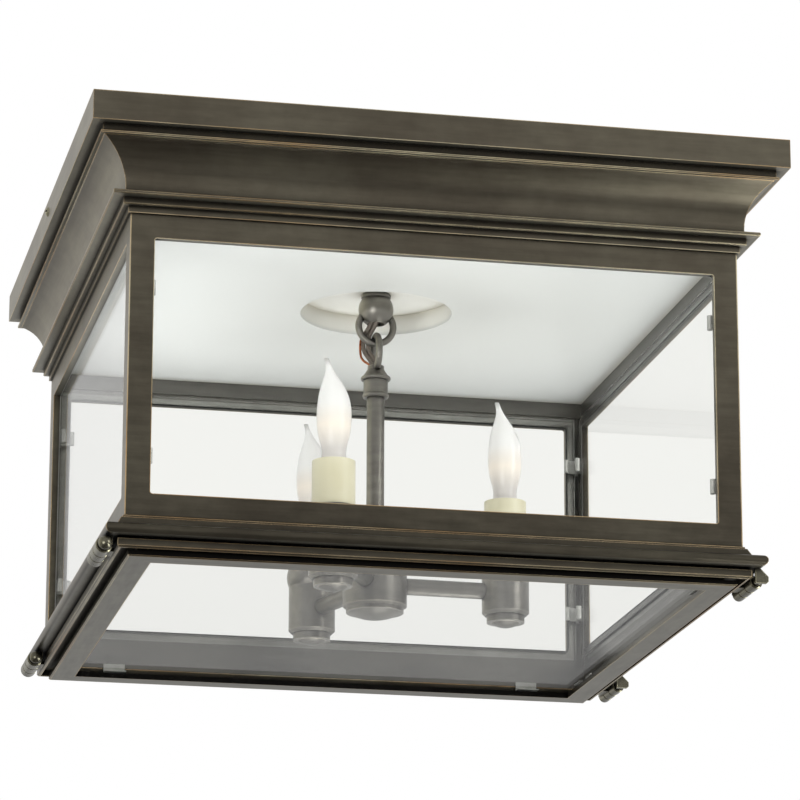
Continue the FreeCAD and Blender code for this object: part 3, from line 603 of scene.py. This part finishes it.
def shaded_middle(tree, where):
    # One over the middle of the panel, fading out towards the walls and to the left. It marks
    # where shade is painted.
    flat = add_node(tree, "ShaderNodeVectorMath", {0: where, 1: (1.0, 1.0, 0.0)},
                    operation="MULTIPLY").outputs[0]
    reach = add_node(tree, "ShaderNodeVectorMath", {0: flat}, operation="LENGTH").outputs["Value"]
    shade_full_within, shade_gone_beyond = 0.07, 0.22
    left_shade_gone, left_shade_full = -0.14, -0.02
    return product(tree, spread(tree, reach, shade_full_within, shade_gone_beyond, 1.0, 0.0),
                   spread(tree, axes(tree, where)[0], left_shade_gone, left_shade_full))


def plain_finish(name, low, high, rough=(0.4, 0.5), metal=0.0, cloud=20.0, grain=400.0,
                 bump=0.1, depth=0.0002, coat=0.0, painted_shade=None, recess_shade=None, middle_shade=None):
    material, tree = new_material(name)
    where = place(tree)
    colour = blend_colours(tree, spread(tree, noise(tree, where, cloud), 0.35, 0.65), low, high)
    if middle_shade:
        # Painted shade over the middle of the panel.
        colour = blend_colours(tree, shaded_middle(tree, where), colour, middle_shade)
    if recess_shade:
        # Painted shade in the recess, a warm grey.
        inside = spread(tree, axes(tree, where)[2], recess_starts, recess_full)
        colour = blend_colours(tree, inside, colour, recess_shade)
    if painted_shade:
        # Painted shade in hollow corners, found by ambient occlusion.
        corner_shade = spread(tree, openness(tree, corner_reach), 0.3, 0.9, 0.7, 0.0)
        colour = blend_colours(tree, corner_shade, colour, painted_shade)
    speckle = noise(tree, where, grain, 2.0)
    height = add_node(tree, "ShaderNodeBump", {
        "Strength": bump, "Distance": depth, "Height": speckle})
    shader = add_node(tree, "ShaderNodeBsdfPrincipled", {
        "Base Color": colour, "Metallic": metal, "Coat Weight": coat,
        "Roughness": spread(tree, speckle, *broad, *rough), "Normal": height.outputs[0]})
    finish_material(tree, shader.outputs[0])
    return material


print("the panel lies", round(-1000 * panel_face, 1), "mm under the ceiling")

# %% Mix the plain finishes
white_enamel = plain_finish("white_enamel", (0.78, 0.80, 0.795), (0.83, 0.85, 0.845),
                            (0.38, 0.46), cloud=6.0, grain=260.0, bump=0.05,
                            painted_shade=from_screen(176, 168, 146), recess_shade=(0.74, 0.735, 0.70),
                            middle_shade=(0.605, 0.615, 0.60))
clip_steel = plain_finish("clip_steel", (0.38, 0.38, 0.36), (0.46, 0.46, 0.44),
                          (0.42, 0.56), metal=0.7, cloud=90.0, grain=900.0)
strap_steel = plain_finish("strap_steel", (0.50, 0.50, 0.49), (0.62, 0.62, 0.60),
                           (0.28, 0.44), metal=1.0, cloud=60.0, grain=700.0)
zinc_steel = plain_finish("zinc_steel", (0.50, 0.50, 0.46), (0.62, 0.61, 0.55),
                          (0.26, 0.40), metal=1.0, cloud=120.0, grain=900.0)
lead_cover = plain_finish("lead_cover", from_screen(96, 88, 80), from_screen(116, 106, 96),
                          (0.42, 0.55), cloud=120.0, grain=800.0)
bare_copper = plain_finish("bare_copper", from_screen(150, 92, 62), from_screen(184, 116, 80),
                           (0.25, 0.38), metal=1.0, cloud=200.0, grain=1200.0)
ivory_sleeve = plain_finish("ivory_sleeve", from_screen(207, 201, 172),
                            from_screen(215, 210, 184), (0.36, 0.46), cloud=45.0, grain=600.0,
                            coat=0.15, painted_shade=from_screen(180, 170, 130))
holder_black = plain_finish("holder_black", (0.010, 0.010, 0.010), (0.018, 0.018, 0.018),
                            (0.35, 0.5), cloud=80.0)
shell_brass = plain_finish("shell_brass", from_screen(168, 142, 88), from_screen(196, 170, 112),
                           (0.2, 0.34), metal=1.0, cloud=140.0, grain=900.0)
print("plain finishes", white_enamel.name, ivory_sleeve.name)

# %% [markdown]
# ## Frosted bulbs
# A frosted lamp is glass etched on the inside. It is pale all over, brightest round the
# filament and a little greyer towards the drawn tip. A true hollow shell with a filament
# takes many bounces to clear up, so the glow is laid on the surface by height instead. The
# upper half carries painted light: a paler colour and a faint white glow of its own. The
# three bulbs hang level, so the box of one of them says where the belly of each is.

# %% Frosted glass with a faint glow
bulb_low, bulb_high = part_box("right_bulb")


def frosted_bulb():
    material, tree = new_material("frosted_glass")
    where = place(tree)
    share = spread(tree, axes(tree, where)[2], bulb_low.z, bulb_high.z)
    belly_share, belly_reach = 0.38, 0.20
    from_belly = sums(tree, "DIVIDE", sums(tree, "SUBTRACT", share, belly_share), belly_reach)
    belly = sums(tree, "SUBTRACT", 1.0, sums(tree, "ABSOLUTE", from_belly), clamp=True)
    # Painted light: the upper half is paler and has a faint white glow.
    upper_lit = spread(tree, share, 0.28, 0.55)
    tip = spread(tree, share, 0.93, 0.99)
    mist = noise(tree, where, 160.0, 3.0)
    colour = blend_colours(tree, upper_lit, (0.73, 0.70, 0.68), (0.85, 0.845, 0.84))
    colour = blend_colours(tree, product(tree, belly, 0.8), colour, (0.93, 0.86, 0.77))
    colour = blend_colours(tree, tip, colour, (0.45, 0.44, 0.43))
    glow = blend_colours(tree, belly, (1.0, 1.0, 1.0), (1.0, 0.84, 0.66))
    glow_strength = product(tree, sums(tree, "MAXIMUM", upper_lit, belly), 0.09)
    shader = add_node(tree, "ShaderNodeBsdfPrincipled", {
        "Base Color": colour, "Roughness": spread(tree, mist, *broad, 0.28, 0.40),
        "Transmission Weight": 0.25, "IOR": 1.35, "Coat Weight": 0.6, "Coat Roughness": 0.05,
        "Emission Color": glow, "Emission Strength": glow_strength,
    })
    finish_material(tree, shader.outputs[0])
    return material


frosted_glass = frosted_bulb()
print("bulb runs from", round(bulb_low.z, 4), "to", round(bulb_high.z, 4))

# %% [markdown]
# ## Give each node its finish
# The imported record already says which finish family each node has. One table from those
# family names to our new materials dresses the whole lantern, and a node that a later change
# adds to a family is dressed too.

# %% Dress the nodes
finishes = {
    "aged_bronze": case_bronze, "bronze_hardware": hardware_bronze,
    "bronze_fittings": fitting_bronze, "clear_glass": window_glass,
    "white_panel": white_enamel, "clip_steel": clip_steel, "steel_strap": strap_steel,
    "zinc_steel": zinc_steel, "lead_insulation": lead_cover, "copper_wire": bare_copper,
    "candle_white": ivory_sleeve, "holder_black": holder_black,
    "frosted_bulb": frosted_glass, "base_brass": shell_brass,
}
family_of = {row["node"]: row["material_slot"] for row in frame["record"]["subparts"]}
for node, thing in frame["nodes"].items():
    for slot in thing.material_slots:
        slot.material = finishes[family_of[node]]
print("dressed", len(family_of), "nodes in", len(finishes), "finishes")

# %% [markdown]
# ## Output settings
# Colours are shown as they are, with no film curve, because the shop photograph is plain too.

# %% Finish
bpy.context.scene.view_settings.view_transform = "Standard"
